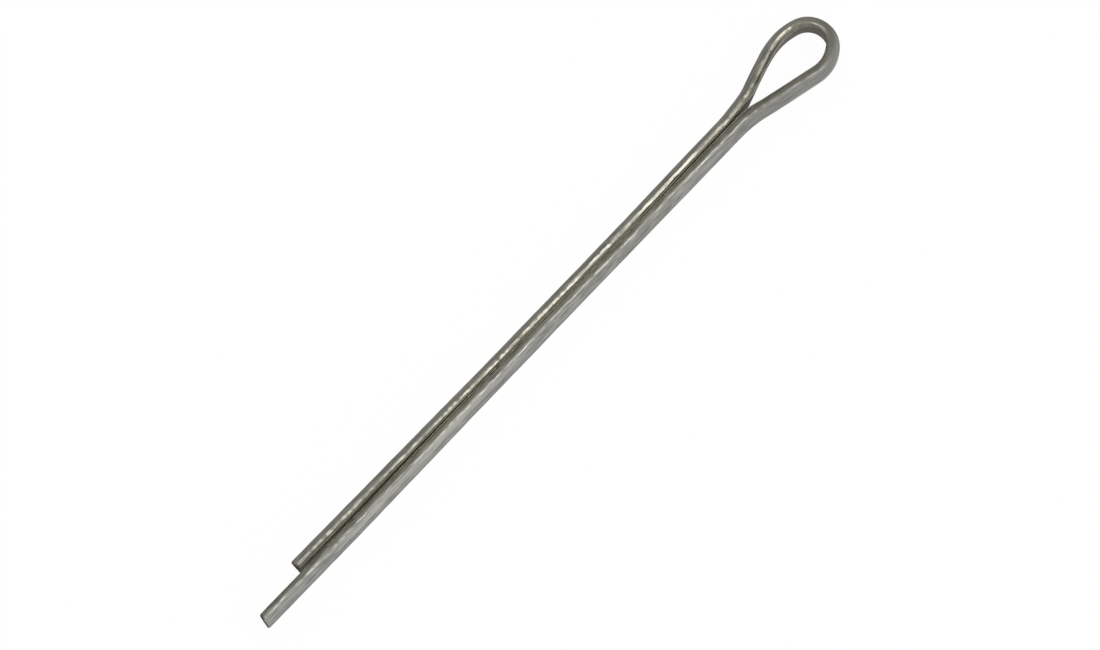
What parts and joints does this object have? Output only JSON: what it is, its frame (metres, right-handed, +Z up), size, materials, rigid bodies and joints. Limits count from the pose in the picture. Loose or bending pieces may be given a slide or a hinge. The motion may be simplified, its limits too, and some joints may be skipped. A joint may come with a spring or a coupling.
{
  "type": "cotter pin",
  "caption": "Split pin of half-round wire folded flat to flat, with a teardrop eye and one leg longer than the other; it locks a nut or clevis pin.",
  "frame": {"origin": "on the shank's axis at the seat, where the shank ends and the eye begins to open", "axes": "+X along the shank from the eye to the legs' ends, +Y across the two flats to the long leg, +Z up as the pin lies on its side"},
  "size_m": [0.0985, 0.008, 0.003],
  "materials": {
    "steel": "satin"
  },
  "bodies": {
    "root": {"cotter_pin": "steel"}
  },
  "joints": []
}
